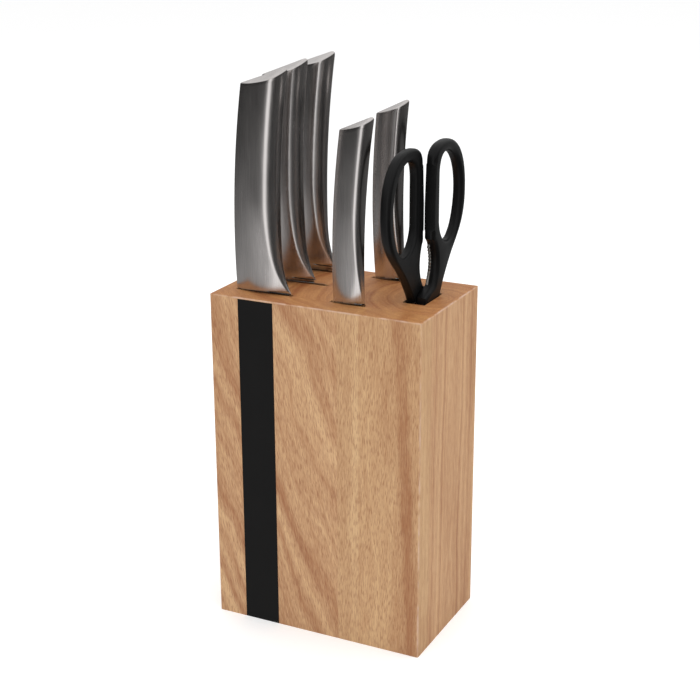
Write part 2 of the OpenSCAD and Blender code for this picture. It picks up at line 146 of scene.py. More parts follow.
def noise(tree, vector, detail=2.0, roughness=0.55):
    inputs = {"Vector": vector, "Scale": 1.0, "Detail": detail, "Roughness": roughness}
    return addNode(tree, "ShaderNodeTexNoise", inputs).outputs["Fac"]


def blend(tree, factor, a, b, how="MIX"):
    # colours are inputs 6 and 7 of a Mix node, and output 2
    made = addNode(tree, "ShaderNodeMix", {0: factor, 6: a, 7: b}, data_type="RGBA", blend_type=how)
    return made.outputs[2]


def millimetres(tree):
    place = addNode(tree, "ShaderNodeTexCoord").outputs["Object"]
    return vectorSums(tree, "SCALE", place, 1 / mm)


def newGroup(name, inputs, outputs):
    group = bpy.data.node_groups.new(name, "ShaderNodeTree")
    for label, kind, value in inputs:
        plug = group.interface.new_socket(name=label, in_out="INPUT", socket_type="NodeSocket" + kind)
        plug.default_value = value
    for label, kind in outputs:
        group.interface.new_socket(name=label, in_out="OUTPUT", socket_type="NodeSocket" + kind)
    return group, group.nodes.new("NodeGroupInput").outputs, group.nodes.new("NodeGroupOutput").inputs


def fillGroup(tree, group, inputs):
    made = tree.nodes.new("ShaderNodeGroup")
    made.node_tree = group
    feed(tree, made.inputs, inputs)
    return made.outputs


def newMaterial(name, **plain):
    material = bpy.data.materials.new(name)
    material.use_nodes = True
    tree = material.node_tree
    shader = tree.nodes["Principled BSDF"]
    for key, value in plain.items():
        shader.inputs[key].default_value = value
    return material, tree, shader


def addBump(tree, shader, height, distance):
    bump = addNode(tree, "ShaderNodeBump", {"Height": height, "Distance": distance * mm, "Strength": 1.0})
    tree.links.new(bump.outputs["Normal"], shader.inputs["Normal"])


# shader groups

# lengths of one noise cell in millimetres, and the share of each layer in the wood's tone
grainForm = {
    "driftCell": (38, 38, 95), "waverCell": (9, 9, 26), "broadCell": (17, 17, 130),
    "fibreCell": (0.8, 0.8, 12), "poreCell": (0.42, 0.42, 5.2), "speckCell": (0.9, 0.9, 3),
    "waverReach": 1.6, "streakWaver": 7.0,
    "fineLean": 0.35, "ringTone": 0.72, "broadTone": 0.24, "fibreTone": 0.34, "lowestTone": 0.26,
    "sidePores": 0.2, "frontPores": 0.55, "speckTone": 0.3, "poreRelief": -0.8,
    "endGrainTint": (0.88, 0.70, 0.48, 1),
}


def woodGrainGroup():
    # sawn hardwood: growth bands round a leaning pith, fine fibres, short dark pores, darker end grain
    group, given, out = newGroup("woodGrain", [
        ("Place", "Vector", (0, 0, 0)),
        ("Pith", "Vector", (0, 150, 0)),
        ("Lean", "Vector", (0, 0, 0)),
        ("Ring Width", "Float", 5.0),
        ("Wander", "Float", 8.0),
        ("Contrast", "Float", 1.0),
        ("Light", "Color", (0.5, 0.3, 0.16, 1)),
        ("Dark", "Color", (0.35, 0.18, 0.09, 1)),
        ("Pore", "Color", (0.2, 0.09, 0.04, 1)),
        ("Streak", "Vector", (0, 10, 0)),
        ("Streak Tone", "Float", 0.3),
    ], [("Color", "Color"), ("Roughness", "Float"), ("Height", "Float")])
    form = grainForm
    place = given["Place"]
    split = axesOf(group, place)

    # growth bands follow the distance from the pith, with a slow drift and a quick waver
    leaning = vectorSums(group, "SCALE", given["Lean"], split["Z"])
    straight = vectorSums(group, "SUBTRACT", place, leaning)
    flat = vectorSums(group, "MULTIPLY", vectorSums(group, "SUBTRACT", straight, given["Pith"]), (1, 1, 0))
    radius = addNode(group, "ShaderNodeVectorMath", {0: flat}, operation="LENGTH").outputs["Value"]
    drift = noise(group, stretched(group, place, form["driftCell"]), 1.5)
    waver = noise(group, stretched(group, place, form["waverCell"]), 1.0)
    moved = sums(group, "MULTIPLY_ADD", drift, given["Wander"], radius)
    moved = sums(group, "MULTIPLY_ADD", waver, form["waverReach"], moved)
    bands = sums(group, "DIVIDE", moved, given["Ring Width"])
    ringPlace = addNode(group, "ShaderNodeCombineXYZ", {0: bands}).outputs[0]
    ring = spread(group, noise(group, ringPlace, 3.0, 0.62), 0.36, 0.66)
    broadPlace = stretched(group, straight, form["broadCell"], (5, 3, 1))
    broad = spread(group, noise(group, broadPlace, 1.0), 0.35, 0.65)

    # fibres and pores lean less than the bands do
    along = vectorSums(group, "SUBTRACT", place, vectorSums(group, "SCALE", leaning, form["fineLean"]))
    fibre = noise(group, stretched(group, along, form["fibreCell"]), 2.5, 0.65)
    poreField = noise(group, stretched(group, along, form["poreCell"], (9, 4, 2)), 1.0, 0.5)
    pore = spread(group, poreField, 0.52, 0.62)

    # one soft dark streak that runs up the board: Streak holds its middle, half width and slope
    course = axesOf(group, given["Streak"])
    offset = sums(group, "SUBTRACT", split["X"], course["X"])
    offset = sums(group, "SUBTRACT", offset, sums(group, "MULTIPLY", split["Z"], course["Z"]))
    offset = sums(group, "MULTIPLY_ADD", sums(group, "SUBTRACT", waver, 0.5), form["streakWaver"], offset)
    offset = sums(group, "DIVIDE", sums(group, "ABSOLUTE", offset), course["Y"])
    streak = spread(group, offset, 1.0, 0.25)

    tone = sums(group, "MULTIPLY", ring, form["ringTone"])
    tone = sums(group, "MULTIPLY_ADD", broad, form["broadTone"], tone)
    tone = sums(group, "MULTIPLY_ADD", spread(group, fibre, 0.34, 0.66), form["fibreTone"], tone)
    tone = sums(group, "SUBTRACT", tone, form["lowestTone"])
    tone = sums(group, "MULTIPLY", tone, given["Contrast"])
    tone = sums(group, "MULTIPLY_ADD", streak, given["Streak Tone"], tone)
    colour = blend(group, spread(group, tone, 0.0, 1.0), given["Light"], given["Dark"])
    facing = axesOf(group, addNode(group, "ShaderNodeNewGeometry").outputs["Normal"])
    upward = spread(group, facing["Z"], 0.6, 0.85)
    # the pores are fainter on the block's sides
    sideways = sums(group, "ABSOLUTE", facing["X"])
    poreDepth = spread(group, sideways, 0.6, 0.85, form["frontPores"], form["sidePores"])
    colour = blend(group, sums(group, "MULTIPLY", pore, poreDepth), colour, given["Pore"])

    endGrain = blend(group, 1.0, colour, form["endGrainTint"], "MULTIPLY")
    speck = spread(group, noise(group, stretched(group, place, form["speckCell"]), 2.0, 0.7), 0.42, 0.68)
    endGrain = blend(group, sums(group, "MULTIPLY", speck, form["speckTone"]), endGrain, given["Pore"])
    colour = blend(group, upward, colour, endGrain)
    group.links.new(colour, out["Color"])
    group.links.new(spread(group, fibre, 0.3, 0.7, 0.46, 0.58), out["Roughness"])
    height = sums(group, "MULTIPLY_ADD", pore, form["poreRelief"], fibre)
    group.links.new(height, out["Height"])
    return group


def paintedEdgeHighlightGroup():
    # painted highlight: a pale line, broken into patches, where two outer faces of the block meet
    group, given, out = newGroup("paintedEdgeHighlight", [
        ("Place", "Vector", (0, 0, 0)),
        ("Corner", "Vector", (blockRight, blockFront, blockTop)),
        ("Reach", "Float", 1.1),
    ], [("Mask", "Float")])
    split = axesOf(group, given["Place"])
    corner = axesOf(group, given["Corner"])
    gaps = []
    for axis in ("X", "Y", "Z"):
        outer = sums(group, "ABSOLUTE", corner[axis])
        gaps.append(sums(group, "SUBTRACT", outer, sums(group, "ABSOLUTE", split[axis])))
    least = sums(group, "MINIMUM", sums(group, "MINIMUM", gaps[0], gaps[1]), gaps[2])
    most = sums(group, "MAXIMUM", sums(group, "MAXIMUM", gaps[0], gaps[1]), gaps[2])
    total = sums(group, "ADD", sums(group, "ADD", gaps[0], gaps[1]), gaps[2])
    second = sums(group, "SUBTRACT", sums(group, "SUBTRACT", total, least), most)
    line = spread(group, sums(group, "DIVIDE", second, given["Reach"]), 1.0, 0.35)
    patches = noise(group, stretched(group, given["Place"], (7, 7, 11)), 2.0)
    patch = spread(group, patches, 0.4, 0.62, 0.15, 1.0)
    group.links.new(sums(group, "MULTIPLY", line, patch), out["Mask"])
    return group


def brushedLinesGroup():
    # hairlines along one direction with the slow cloudiness of hand polishing
    group, given, out = newGroup("brushedLines", [
        ("Place", "Vector", (0, 0, 0)),
        ("Cell", "Vector", (0.22, 0.22, 26)),
        ("Rough", "Float", 0.3),
        ("Sway", "Float", 0.06),
    ], [("Roughness", "Float"), ("Height", "Float"), ("Tone", "Float")])
    lines = noise(group, vectorSums(group, "DIVIDE", given["Place"], given["Cell"]), 3.0, 0.6)
    cloud = noise(group, stretched(group, given["Place"], (14, 14, 34)), 2.0)
    wave = sums(group, "SUBTRACT", lines, 0.5)
    rough = sums(group, "MULTIPLY_ADD", wave, given["Sway"], given["Rough"])
    cloudy = sums(group, "MULTIPLY", sums(group, "SUBTRACT", cloud, 0.5), given["Sway"])
    group.links.new(sums(group, "ADD", rough, cloudy), out["Roughness"])
    group.links.new(lines, out["Height"])
    group.links.new(spread(group, sums(group, "ADD", lines, cloud), 0.7, 1.3), out["Tone"])
    return group


def mouldedSkinGroup():
    # fine pebbled skin of moulded or sprayed surfaces, with a few rubbed places
    group, given, out = newGroup("mouldedSkin", [
        ("Place", "Vector", (0, 0, 0)),
        ("Pebble", "Float", 0.7),
        ("Rough", "Float", 0.42),
    ], [("Roughness", "Float"), ("Height", "Float"), ("Rub", "Float")])
    inverse = sums(group, "DIVIDE", 1.0, given["Pebble"])
    pebble = noise(group, vectorSums(group, "SCALE", given["Place"], inverse), 2.0, 0.5)
    rub = spread(group, noise(group, stretched(group, given["Place"], (16, 16, 24)), 3.0), 0.4, 0.7)
    group.links.new(sums(group, "MULTIPLY_ADD", rub, 0.08, given["Rough"]), out["Roughness"])
    group.links.new(pebble, out["Height"])
    group.links.new(rub, out["Rub"])
    return group


woodGrain = woodGrainGroup()
paintedEdgeHighlight = paintedEdgeHighlightGroup()
brushedLines = brushedLinesGroup()
mouldedSkin = mouldedSkinGroup()
print("shader groups made")


# materials

woodTones = {
    "light": (0.64, 0.40, 0.208, 1),
    "dark": (0.36, 0.152, 0.062, 1),
    "pore": (0.27, 0.095, 0.036, 1),
    # pale colour of the painted highlight along the block's edges
    "paintedEdgeLight": (0.62, 0.43, 0.33, 1),
    "bump": 0.05,
    # how strongly the painted edge highlight shows
    "paintedEdgeLightShare": 0.75,
}


figureSockets = {
    "Pith": "pith", "Lean": "lean", "Ring Width": "ringWidth", "Wander": "wander",
    "Contrast": "contrast", "Streak": "streak", "Streak Tone": "streakTone",
}


def woodMaterial(name, tint, **figure):
    material, tree, shader = newMaterial(name, IOR=1.45)
    place = millimetres(tree)
    grainInputs = {"Place": place}
    for key in ("light", "dark", "pore"):
        grainInputs[key.title()] = [woodTones[key][k] * tint[k] for k in range(3)] + [1]
    for label, key in figureSockets.items():
        grainInputs[label] = figure[key]
    grain = fillGroup(tree, woodGrain, grainInputs)
    # pale painted highlight along the block's outer edges
    edgeHighlight = fillGroup(tree, paintedEdgeHighlight, {"Place": place})
    paintedEdgeLight = sums(tree, "MULTIPLY", edgeHighlight["Mask"], woodTones["paintedEdgeLightShare"])
    colour = blend(tree, paintedEdgeLight, grain["Color"], woodTones["paintedEdgeLight"])
    tree.links.new(colour, shader.inputs["Base Color"])
    tree.links.new(grain["Roughness"], shader.inputs["Roughness"])
    addBump(tree, shader, grain["Height"], woodTones["bump"])
    return material


flameWood = woodMaterial(
    "flameWood", tint=(1, 1, 1), pith=(150, 95, 0), lean=(-0.46, 0, 0), ringWidth=9, wander=22,
    contrast=1.12, streak=(14, 6, -0.4), streakTone=0.15)
paleWood = woodMaterial(
    "paleWood", tint=(1.0, 1.03, 1.02), pith=(20, 160, 0), lean=(0.03, 0, 0), ringWidth=3.2, wander=5,
    contrast=0.85, streak=(28, 4, 0.01), streakTone=-0.25)
stripedWood = woodMaterial(
    "stripedWood", tint=(1.0, 1.02, 1.0), pith=(96, 170, 0), lean=(0.05, 0, 0), ringWidth=5.2, wander=12,
    contrast=0.9, streak=(70, 6, -0.05), streakTone=0.38)
coreWood = woodMaterial(
    "coreWood", tint=(1.0, 0.98, 0.98), pith=(61, 3, 0), lean=(0, 0.02, 0), ringWidth=4.2, wander=7,
    contrast=1.15, streak=(-40, 6, 0.05), streakTone=0.2)


# how bright the duller brushed lines are, as a share of the steel's own colour
dullerSteel = 0.80


def steelMaterial(name, colour, cell, rough, sway, depth):
    material, tree, shader = newMaterial(name, Metallic=1.0)
    place = millimetres(tree)
    lines = fillGroup(tree, brushedLines, {"Place": place, "Cell": cell, "Rough": rough, "Sway": sway})
    duller = [c * dullerSteel for c in colour[:3]] + [1]
    tree.links.new(blend(tree, lines["Tone"], duller, colour), shader.inputs["Base Color"])
    tree.links.new(lines["Roughness"], shader.inputs["Roughness"])
    addBump(tree, shader, lines["Height"], depth)
    return material


handleSteel = steelMaterial(
    "handleSteel", colour=(0.70, 0.665, 0.65, 1), cell=(0.7, 0.7, 45), rough=0.24, sway=0.10, depth=0.0018)
bladeSteel = steelMaterial(
    "bladeSteel", colour=(0.64, 0.64, 0.63, 1), cell=(30, 0.3, 0.2), rough=0.2, sway=0.08, depth=0.004)
toothSteel = steelMaterial(
    "toothSteel", colour=(0.52, 0.50, 0.47, 1), cell=(6, 0.3, 0.3), rough=0.3, sway=0.1, depth=0.006)


def blackMaterial(name, colour, rubbed, pebble, rough, depth):
    material, tree, shader = newMaterial(name, IOR=1.28)
    skin = fillGroup(tree, mouldedSkin, {"Place": millimetres(tree), "Pebble": pebble, "Rough": rough})
    tree.links.new(blend(tree, skin["Rub"], colour, rubbed), shader.inputs["Base Color"])
    tree.links.new(skin["Roughness"], shader.inputs["Roughness"])
    addBump(tree, shader, skin["Height"], depth)
    return material


gripPlastic = blackMaterial(
    "gripPlastic", colour=(0.0035, 0.0035, 0.0037, 1), rubbed=(0.005, 0.005, 0.005, 1),
    pebble=0.6, rough=0.36, depth=0.01)
inlayBlack = blackMaterial(
    "inlayBlack", colour=(0.0055, 0.0052, 0.0052, 1), rubbed=(0.007, 0.0066, 0.0066, 1),
    pebble=0.9, rough=0.7, depth=0.01)
print("materials made")


# wooden block

blockFinish = {
    "front_left_stave": flameWood,
    "front_middle_stave": paleWood,
    "front_right_stave": stripedWood,
    "black_stripe": inlayBlack,
}
for nodeName, piece in frame["nodes"].items():
    if piece["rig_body"] == "block":
        piece.data.materials.clear()
        piece.data.materials.append(blockFinish.get(nodeName, coreWood))
print("block finished")


# mesh making

def addPiece(name, points, faces, material, body, replaced, slotName, sharpAngle, place):
    mesh = bpy.data.meshes.new(name)
    moved = [place @ Vector(p) * mm for p in points]
    mesh.from_pydata(moved, [], faces)
    work = bmesh.new()
    work.from_mesh(mesh)
    bmesh.ops.remove_doubles(work, verts=work.verts, dist=1e-7)
    bmesh.ops.dissolve_degenerate(work, edges=work.edges, dist=1e-8)
    bmesh.ops.recalc_face_normals(work, faces=work.faces)
    work.to_mesh(mesh)
    work.free()
    mesh.shade_smooth()
    mesh.set_sharp_from_angle(angle=math.radians(sharpAngle))
    mesh.materials.append(material)
    piece = bpy.data.objects.new(name, mesh)
    bpy.context.scene.collection.objects.link(piece)
    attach(piece, body)
    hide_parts(*replaced)


def sweepRings(rings):
    # a ring holds one side's points and then the other side's backwards, so each end closes as a strip
    count = len(rings[0])
    points = [p for ring in rings for p in ring]
    faces = []
    for r in range(len(rings) - 1):
        for i in range(count):
            a = r * count + i
            b = r * count + (i + 1) % count
            faces.append((a, b, b + count, a + count))
    for r in (0, len(rings) - 1):
        for i in range(count // 2 - 1):
            a = r * count + i
            d = r * count + count - 1 - i
            faces.append((a, a + 1, d - 1, d))
    return points, faces


# knife handles

handleForm = {
    "flareHeight": 29, "flarePower": 2.4, "buttCrown": 0.5, "footRise": 2.4, "footShare": 0.62,
    "ridgeShare": 0.72, "ridgeShareFoot": 0.97, "ridgeSweep": 58, "wall": 1.2, "capThickness": 2.4,
    "capRound": 0.45, "tipRound": 2.3, "tipRoundStart": 0.6, "capSeat": 0.02, "capSteps": 6, "footGap": 0.6,
    "tangRoom": 0.3, "tangStart": 0.32, "tangShare": 0.36, "tangGap": 0.05, "slitEnd": 0.04,
    "slitPast": 0.08, "mouth": 0.07, "mouthReach": 0.05, "columns": 44, "rings": 56,
}
largeHandle = {"width": 33.5, "length": 142.5, "thickness": 16, "flare": 5, "drop": 11.6, "bend": 0.00076,
               "spineLow": 33, "edgeLow": 48}
smallHandle = {"width": 21.9, "length": 117.5, "thickness": 11.4, "flare": 0, "drop": 10, "bend": 0.00085,
               "spineLow": 27, "edgeLow": 27}
# half section from spine to edge: share of the width, share of the half thickness
halfSection = [(0, 0), (0.17, 0.36), (0.34, 0.64), (0.52, 0.86), (0.67, 0.985),
               (0.78, 0.96), (0.88, 0.74), (0.96, 0.38), (1, 0)]


def sectionAt(f):
    # smooth curve through the section's points
    for k in range(len(halfSection) - 1):
        (x0, y0), (x1, y1) = halfSection[k], halfSection[k + 1]
        if f <= x1:
            break
    slopes = []
    for j in (k, k + 1):
        a = halfSection[max(0, j - 1)]
        b = halfSection[min(len(halfSection) - 1, j + 1)]
        slopes.append((b[1] - a[1]) / (b[0] - a[0]))
    span = x1 - x0
    t = (f - x0) / span
    return ((1 + 2 * t) * (1 - t) ** 2 * y0 + t * (1 - t) ** 2 * span * slopes[0]
            + t * t * (3 - 2 * t) * y1 + t * t * (t - 1) * span * slopes[1])


def bow(h, z, low):
    return h["bend"] * ((z - low) ** 2 - h["spineLow"] ** 2)


def handlePoint(h, s, f, g, free):
    form = handleForm
    half = h["thickness"] / 2
    foot = form["footRise"] * g
    top = h["length"] - h["drop"] * (1 - f) - form["buttCrown"] * half * g - free
    z = foot + s * (top - foot)
    turn = clamp01(1 - z / form["ridgeSweep"]) ** 1.6
    ridge = form["ridgeShare"] + (form["ridgeShareFoot"] - form["ridgeShare"]) * turn
    if f < form["ridgeShare"]:
        place = f * ridge / form["ridgeShare"]
    else:
        place = 1 - (1 - f) * (1 - ridge) / (1 - form["ridgeShare"])
    lens = form["footShare"] * math.sin(math.pi * clamp01(place)) ** 0.8
    solid = 0 if g == 0 else lens * min(1, g / max(0.01, sectionAt(f)))
    bulge = g * (1 - turn) + solid * turn
    left = bow(h, z, h["spineLow"])
    flare = h["flare"] * clamp01(1 - z / form["flareHeight"]) ** form["flarePower"]
    right = h["width"] + bow(h, z, h["edgeLow"]) + flare
    return (left + place * (right - left), -bulge * half, z)


def insetPlace(h, f, g, inset):
    # offsetting the kite inwards shrinks it about its own centre
    spine = math.atan(h["thickness"] / 2 / (handleForm["ridgeShare"] * h["width"]))
    edge = math.atan(h["thickness"] / 2 / ((1 - handleForm["ridgeShare"]) * h["width"]))
    centre = math.sin(edge) / (math.sin(spine) + math.sin(edge))
    shrink = 1 - inset / (h["width"] * centre * math.sin(spine))
    return centre + (f - centre) * shrink, g * shrink


def columnPlaces():
    count = handleForm["columns"]
    return [i / (count - 1) for i in range(count)]


def ringPlaces():
    # closer together at the foot, where the ridge sweeps
    count = handleForm["rings"]
    return [(i / (count - 1)) ** 1.5 for i in range(count)]


def halfShell(h, tangThickness, back):
    side = -1 if back else 1
    places = columnPlaces()
    form = handleForm
    tangLeft, tangWidth = form["tangStart"] * h["width"], form["tangShare"] * h["width"]
    room, free = form["tangRoom"], form["capThickness"]
    slitStart, slitPast = form["slitEnd"], form["slitPast"]
    rings = []
    for s in ringPlaces():
        outer = [handlePoint(h, s, f, max(0, sectionAt(f)), free) for f in places]
        inner = []
        for f in places:
            g = max(0, sectionAt(f))
            hollow = handlePoint(h, s, *insetPlace(h, f, g, form["wall"]), free)
            # at the foot the hollow closes to a slit round the tang
            across = clamp01((f - slitStart) / (1 - 2 * slitStart))
            depth = -tangThickness / 2 - form["tangGap"]
            if f in (0, 1):
                across += slitPast if f else -slitPast
                depth = 0
            slit = (tangLeft - room + across * (tangWidth + 2 * room), depth,
                    handlePoint(h, s, f, g, free)[2])
            opened = clamp01((s - form["mouth"]) / form["mouthReach"])
            inner.append(tuple(slit[k] + (hollow[k] - slit[k]) * opened for k in range(3)))
        ring = outer + inner[::-1]
        rings.append([(x, y * side, z) for x, y, z in ring])
    return sweepRings(rings)


def buttCap(h):
    form = handleForm
    places = columnPlaces()
    # level is 1 under the cap, 0 where its rim starts to round and -1 at the top
    layers = [(1.0, 0.0), (0.0, 0.0)]
    for i in range(1, form["capSteps"] + 1):
        turn = math.pi / 2 * i / form["capSteps"]
        layers.append((-math.sin(turn), 1 - math.cos(turn)))
    points, faces = [], []

    def addLoop(level, inset, share):
        start = len(points)
        for f in places:
            # the rim is rounder towards the edge side
            towardsTip = clamp01((f - form["tipRoundStart"]) / (1 - form["tipRoundStart"])) ** 2
            rim = form["capRound"] + (form["tipRound"] - form["capRound"]) * towardsTip
            base = form["capThickness"] - form["capSeat"]
            free = rim + (base - rim) * level if level > 0 else rim * (1 + level)
            q = insetPlace(h, f, max(0, sectionAt(f)) * share, rim * inset)
            points.append(handlePoint(h, 1, q[0], q[1], free))
        return start

    # front half from the underside's middle, round the rim, to the crest, and then its mirror image
    rows = [(1.0, 0.0, 0.0), (1.0, 0.0, 0.5)] + [(level, inset, 1) for level, inset in layers]
    rows += [(-1.0, 1.0, share) for share in (0.8, 0.6, 0.4, 0.2, 0)]
    starts = [addLoop(*row) for row in rows]
    for a, b in zip(starts, starts[1:]):
        for i in range(len(places) - 1):
            faces.append((a + i, a + i + 1, b + i + 1, b + i))
    half = len(points)
    points.extend([(x, -y, z) for x, y, z in points[:half]])
    faces.extend([tuple(i + half for i in reversed(face)) for face in faces[:]])
    return points, faces


# knife blades

slotPlay = 2.65
scallopForm = {"pitch": 9, "radius": 7, "depth": 1.6, "first": 6, "last": 0.86, "phase": 12}
bladeGrind = {"start": 0.45, "edge": 0.07, "tipThinning": 0.35, "spineRound": 0.02}


def bladeRows(knife):
    h = knife["handle"]
    w, l = knife["height"], knife["bladeLength"]
    footX = knife["inset"] - slotPlay
    footW = min(w, footX + h["width"] + h["flare"] - handleForm["tangRoom"])
    gap = handleForm["footGap"]
    start, share = handleForm["tangStart"], handleForm["tangShare"]
    tang = (footX + start * h["width"], footX + (start + share) * h["width"])
    tip = (knife["pointDrop"] * w, -l)
    belly = knife["belly"]
    spineTurn = (0, -l * (1 - belly * 0.6))
    edgeTurn = (w, -l * (1 - belly))
    spine = [spineTurn] + bezier(spineTurn, (0, spineTurn[1] - l * belly * 0.3),
                                 (tip[0] - knife["pointDrop"] * w * 0.5, tip[1] + l * 0.03), tip, 40)
    edge = [tip] + bezier(tip, (tip[0] + w * 0.35, tip[1] + l * 0.05),
                          (w, edgeTurn[1] - l * belly * 0.35), edgeTurn, 40)

    def across(line, z):
        for (x0, z0), (x1, z1) in zip(line, line[1:]):
            if min(z0, z1) <= z <= max(z0, z1) and z0 != z1:
                return x0 + (x1 - x0) * (z - z0) / (z1 - z0)
        return None

    rows = [(h["length"] * 0.5 - 2, *tang), (gap, *tang), (gap, 0, footW)]
    if w > footW:
        heel = -(knife["rise"] + 0.5)
        rows += [(heel, 0, footW), (heel - 0.01, 0, w)]
    scallops = scallopForm
    steps = 300 if knife["serrated"] else 90
    for i in range(1, steps + 1):
        z = gap - (l + gap - 0.15) * i / steps
        if z > (-(knife["rise"] + 0.6) if w > footW else gap):
            continue
        left = 0 if z > spineTurn[1] else across(spine, z)
        right = w if z > edgeTurn[1] else across(edge, z)
        if knife["serrated"] and -l * scallops["last"] < z < -scallops["first"]:
            phase = (-z - scallops["phase"]) % scallops["pitch"]
            off = min(phase, scallops["pitch"] - phase)
            dip = math.sqrt(max(0, scallops["radius"] ** 2 - off ** 2))
            right = min(right, w + scallops["radius"] - scallops["depth"] - dip)
        rows.append((z, left, max(right, left + 0.2)))
    return rows


def knifeBlade(knife):
    rings = []
    grind = bladeGrind
    half = knife["thickness"] / 2
    shares = [0, grind["spineRound"], 0.06, 0.2, grind["start"], 0.6, 0.75, 0.88, 0.95, 1]
    for z, left, right in bladeRows(knife):
        front = []
        # thinner towards the tip, and ground from its middle down to the edge
        taper = 1 if z > 0 else 1 + grind["tipThinning"] * z / knife["bladeLength"]
        ground = z < handleForm["footGap"]
        for share in shares:
            thin = clamp01((share - grind["start"]) / (1 - grind["start"])) if ground else 0
            rounding = 0.75 if share == 0 else 1
            y = half * taper * rounding * (1 - thin) + grind["edge"] * thin
            front.append((left + (right - left) * share, -y, z))
        rings.append(front + [(x, -y, zz) for x, y, zz in reversed(front)])
    return sweepRings(rings)


# the five knives

largeKnife = {"handle": largeHandle, "slotX": longSlotX, "bladeLength": 200, "thickness": 2.2,
              "lean": 0, "rise": 0, "serrated": False}
smallKnife = {"handle": smallHandle, "slotX": smallSlotX, "thickness": 1.6, "inset": 2.2, "height": 19.1,
              "lean": 0, "rise": 0, "pointDrop": 0.3, "serrated": False}
knives = {
    "bread": {**largeKnife, "row": 0, "inset": 0.1, "height": 35.4, "pointDrop": 0.5, "belly": 0.12,
              "serrated": True},
    "chef": {**largeKnife, "row": 1, "inset": 1.7, "lean": 1.5, "rise": 1, "height": 45, "pointDrop": 0.14,
             "belly": 0.55},
    "slicer": {**largeKnife, "row": 2, "inset": 1.5, "rise": 3, "height": 34.7, "pointDrop": 0.25,
               "belly": 0.3},
    "utility": {**smallKnife, "row": 0, "bladeLength": 125, "belly": 0.35},
    "paring": {**smallKnife, "row": 2, "bladeLength": 90, "lean": 2.3, "belly": 0.45},
}


# creases sharper than these angles, in degrees, stay sharp
handleSharp = 38
bladeSharp = 20


def addKnife(name, knife):
    stand = Matrix.Translation((knife["slotX"], rowY[knife["row"]], blockTop + knife["rise"]))
    stand = stand @ Matrix.Rotation(math.radians(-knife["lean"]), 4, "Y")
    atHandle = stand @ Matrix.Translation((knife["inset"], 0, handleForm["footGap"]))
    atBlade = stand @ Matrix.Translation((slotPlay, 0, 0))
    body = name + "_knife"
    for end, back in (("front", False), ("back", True)):
        shell = halfShell(knife["handle"], knife["thickness"], back)
        addPiece(f"{name}.{end}Shell", *shell, handleSteel, body, [f"{name}_{end}_shell"], "handle_steel",
                 handleSharp, atHandle)
    addPiece(f"{name}.buttCap", *buttCap(knife["handle"]), handleSteel, body, [f"{name}_butt_cap"],
             "handle_steel", handleSharp, atHandle)
    addPiece(f"{name}.blade", *knifeBlade(knife), bladeSteel, body, [f"{name}_blade"], "blade_steel",
             bladeSharp, atBlade)


for name, knife in knives.items():
    addKnife(name, knife)
print("knives made")


# shears

shearsForm = {
    "gripThickness": 7, "steelThickness": 2.3, "gap": 0.1, "neck": 12.2, "pivotDepth": blockTop - pivot.z,
    "bladeLength": 115, "bar": 7.5, "loopIn": 1.7, "loopOut": 51, "loopLow": 32, "loopHigh": 89.5,
    "dockIn": 0.1, "dockLow": 44, "dockMeet": 60, "dockHigh": 84, "dockStep": 0.7, "dockSteps": 8,
    "nutGap": 5.0, "nutPower": 0.8, "nutLow": 8, "nutHigh": 36, "nutSteps": 24,
    "toothPitch": 2.07, "toothHeight": 0.8, "toothReach": 1.8,
    "outerRound": 3.1, "innerRound": 2.3, "dockRounding": 0.15, "armRounding": 0.4, "armHigh": 24,
    "armBlend": 16, "coverThickness": 0.7, "coverLow": -3.5, "steelLowRound": 0.12, "steelHighRound": 0.3,
    "steelRoundSteps": 3, "gripSharp": 35, "steelSharp": 30,
}


def nutEdge(z):
    form = shearsForm
    share = (z - form["nutLow"]) / (form["nutHigh"] - form["nutLow"])
    return form["nutGap"] * max(0, math.sin(math.pi * share)) ** form["nutPower"]


def gripOutline(setBack):
    # neck, outer bar, loop top, and the inner bar with the almond-shaped gap below it
    form = shearsForm
    neck, outer, high = form["neck"], form["loopOut"], form["loopHigh"] + form["bar"]
    step, nutLow, nutHigh = form["dockStep"], form["nutLow"], form["nutHigh"]
    loopIn, dockIn, dockLow, dockHigh = form["loopIn"], form["dockIn"], form["dockLow"], form["dockHigh"]
    topIn, lugIn = loopIn - step, dockIn - step
    line = [(-neck * 0.9, -4), (neck, -4), (neck, 0)]
    line += bezier((neck, 0), (neck + 5, 9), (24, 17), (30, 23.5))
    line += bezier((30, 23.5), (42, 34.5), (outer, 42), (outer, 61))
    line += bezier((outer, 61), (outer, 84), (39, high), (20, high))
    line += bezier((20, high), (6, high), (topIn, 93), (topIn, dockHigh + step))
    for i in range(form["dockSteps"] + 1):
        share = i / form["dockSteps"]
        line.append((loopIn + (dockIn - loopIn) * share, dockHigh + (form["dockMeet"] - dockHigh) * share))
    line += [(dockIn, 52), (dockIn, dockLow), (lugIn, dockLow - step), (lugIn, nutHigh + 2)]
    for i in range(form["nutSteps"], -1, -1):
        z = nutLow + (nutHigh - nutLow) * i / form["nutSteps"]
        line.append((nutEdge(z) + setBack, z))
    line += [(-3, nutLow - 1.5), (-neck * 0.9, 3)]
    return line


def fingerHole():
    form = shearsForm
    x0 = form["loopIn"] + form["bar"]
    x1 = form["loopOut"] - form["bar"]
    low, high = form["loopLow"], form["loopHigh"]
    line = bezier((x0, 50), (x0, 38), (19, low), (26, low))
    line += bezier((26, low), (36, low), (x1, 48), (x1, 62))
    line += bezier((x1, 62), (x1, 78), (33, high), (21, high))
    line += bezier((21, high), (13, high), (x0, 86), (x0, 76))
    line += [(x0, 67), (x0, 58)]
    return line


def arc(centre, radius, start, end, steps=16):
    made = []
    for i in range(steps + 1):
        turn = math.radians(start + (end - start) * i / steps)
        made.append((centre[0] + radius * math.cos(turn), centre[1] + radius * math.sin(turn)))
    return made


